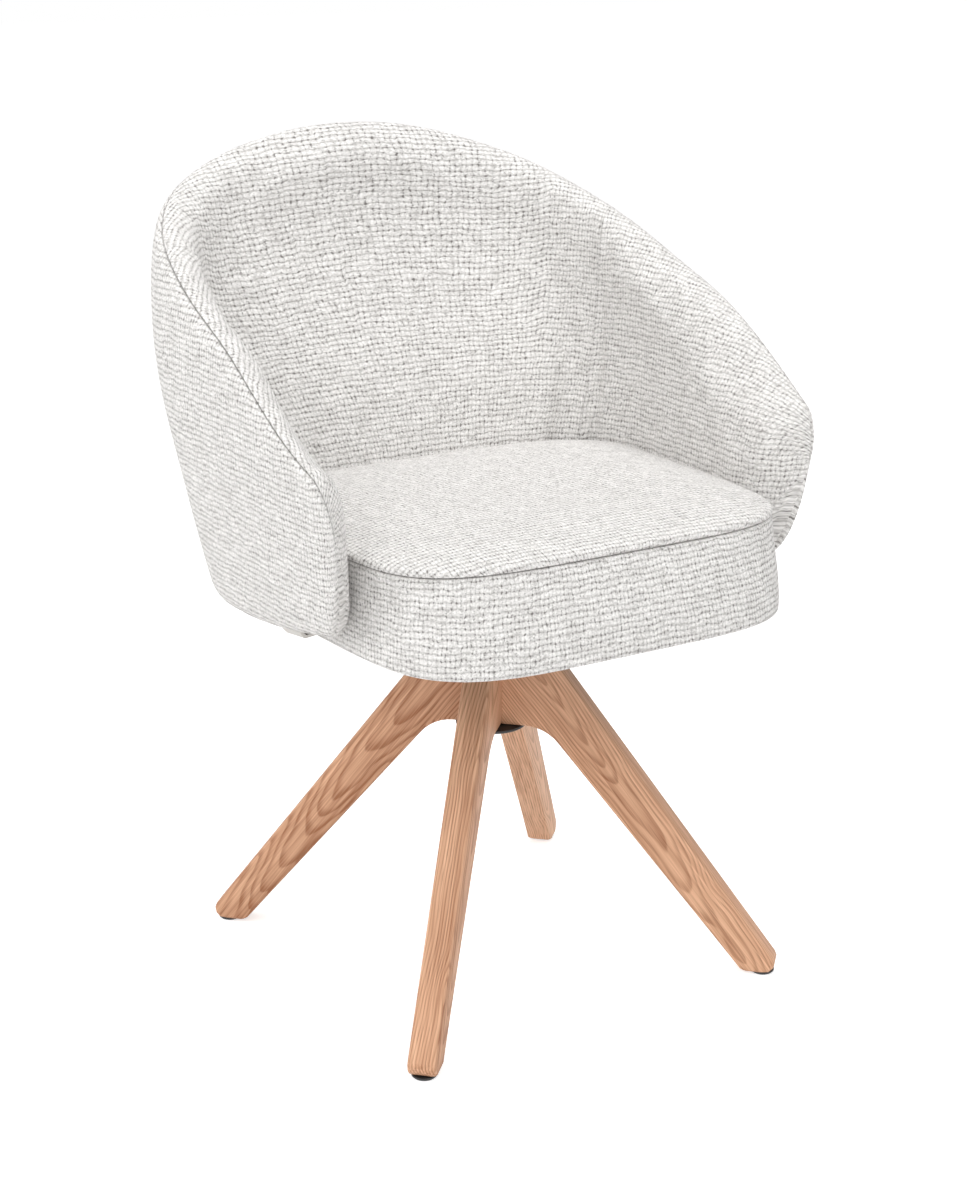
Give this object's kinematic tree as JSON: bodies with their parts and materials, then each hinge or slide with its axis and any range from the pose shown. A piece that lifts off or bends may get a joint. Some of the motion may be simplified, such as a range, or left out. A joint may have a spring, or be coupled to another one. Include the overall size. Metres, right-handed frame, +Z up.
{
  "type": "swivel armchair",
  "caption": "Upholstered tub armchair with a wrap-around padded back and arms, a boxed seat cushion and a swivel on splayed oak board legs.",
  "frame": {"origin": "on the floor below the middle of the chair's overall box", "axes": "+Z up along the chair's height, -Y the way the sitter faces, +X the sitter's left"},
  "size_m": [0.592, 0.5622, 0.8415],
  "materials": {
    "woven_cover": "off-white loop weave with grey flecks",
    "oak": "matt oiled oak",
    "black_plastic": "matt",
    "black_paint": "satin black powder coat",
    "zinc": "bright zinc plating",
    "steel": "plain bright steel",
    "brass_cage": "pressed",
    "nylon": "moulded",
    "plywood": "raw birch plywood",
    "black_cloth": "thin non-woven cloth",
    "foam": "cut seat foam"
  },
  "bodies": {
    "base": {"leg_front_left": "oak", "leg_front_right": "oak", "leg_rear_left": "oak", "leg_rear_right": "oak", "glide_front_left": "black_plastic", "glide_front_right": "black_plastic", "glide_rear_left": "black_plastic", "glide_rear_right": "black_plastic", "hub_disc": "black_paint", "hub_disc_screws": "black_paint", "base_plate": "black_paint", "leg_screws": "zinc", "column": "steel", "bush_upper": "nylon", "bush_lower": "nylon", "race_lower": "steel"},
    "balls": {"ball_cage": "brass_cage", "bearing_balls": "steel"},
    "seat": {"race_upper": "steel", "swivel_pan": "black_paint", "spindle": "steel", "circlip": "steel", "pan_bolts": "zinc", "tee_nuts": "zinc", "seat_board": "plywood", "under_cloth": "black_cloth", "seat_foam": "foam", "seat_band": "woven_cover", "seat_top": "woven_cover", "frame_tube": "steel", "frame_straps": "steel", "strap_screws": "zinc", "back_pad": "woven_cover", "wing_pad_left": "woven_cover", "wing_pad_right": "woven_cover", "outer_panel": "woven_cover"}
  },
  "joints": [
    {"name": "seat_swivel", "type": "hinge", "parent": "base", "child": "seat", "pos_m": [0, -0.028, 0.38], "axis": [0, 0, 1], "continuous": true},
    {"name": "ball_roll", "type": "hinge", "parent": "base", "child": "balls", "pos_m": [0, -0.028, 0.36], "axis": [0, 0, 1], "continuous": true}
  ],
  "couplings": [
    {"joint": "ball_roll", "follows": "seat_swivel", "ratio": 0.5}
  ]
}
